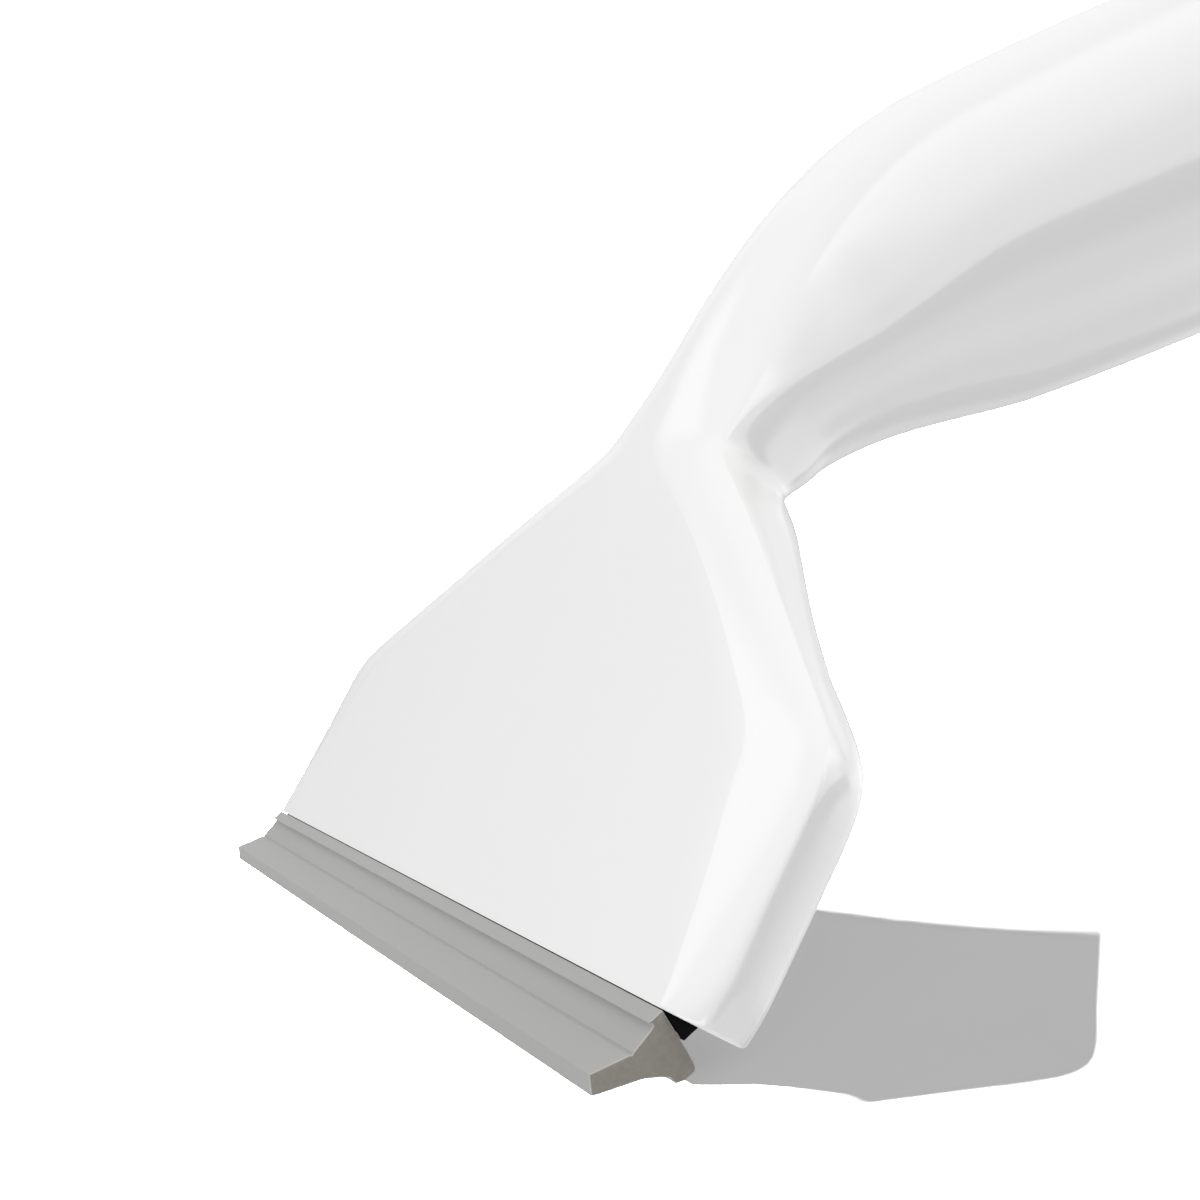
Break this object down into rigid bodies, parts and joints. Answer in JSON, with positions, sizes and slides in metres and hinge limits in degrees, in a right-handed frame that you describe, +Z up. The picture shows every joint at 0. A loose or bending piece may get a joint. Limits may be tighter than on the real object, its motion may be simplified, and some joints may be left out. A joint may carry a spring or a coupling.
{
  "type": "extendable squeegee",
  "caption": "Hand squeegee with a flared head, a grey rubber blade in a black rail, a thick barrel handle and a twist-lock tube with a rear grip that slides out.",
  "frame": {"origin": "middle of the ground rectangle under the tool as it lies, at ground height", "axes": "+X along the blade, +Y from the head to the tail, +Z up; the handle's axis falls 6.7 degrees towards the tail"},
  "size_m": [0.212, 0.3996, 0.0672],
  "materials": {
    "gloss_white": "high gloss moulded white",
    "cover_white": "fine satin white",
    "carrier_black": "matt black",
    "blade_rubber": "smooth grey rubber",
    "soft_grip": "soft matt dark grey",
    "seal_rubber": "matt black rubber",
    "steel": "plain steel",
    "aluminium": "satin anodised",
    "guide_plastic": "natural nylon"
  },
  "bodies": {
    "handle": {"extension_tube": "aluminium", "guide_plug": "guide_plastic", "plug_pin": "steel", "stop_bumper": "seal_rubber", "grip_core": "gloss_white", "grip_sleeve": "soft_grip", "end_cap": "gloss_white", "grip_pin": "steel", "loop_pin": "steel"},
    "head": {"main_body": "gloss_white", "head_cover": "cover_white", "cover_screw_1": "steel", "cover_screw_2": "steel", "cover_screw_3": "steel", "cover_screw_4": "steel", "carrier_screw_1": "steel", "carrier_screw_2": "steel", "rubber_blade": "blade_rubber", "blade_carrier": "carrier_black", "mouth_bush": "guide_plastic", "retaining_ring": "steel", "collet": "guide_plastic"},
    "collar": {"twist_collar": "gloss_white", "collar_band": "soft_grip", "tube_seal": "seal_rubber"},
    "loop": {"hang_loop": "soft_grip"}
  },
  "joints": [
    {"name": "head_slide", "type": "slide", "parent": "handle", "child": "head", "axis": [0, -0.9931, 0.1169], "range_m": [0, 0.098]},
    {"name": "collar_turn", "type": "hinge", "parent": "head", "child": "collar", "pos_m": [0, 0.0452, 0.03002], "axis": [0, 0.9931, -0.1169], "range_deg": [0, 75]},
    {"name": "loop_swing", "type": "hinge", "parent": "handle", "child": "loop", "pos_m": [0, 0.1697, 0.01537], "axis": [1, 0, 0], "range_deg": [0, 95]}
  ]
}
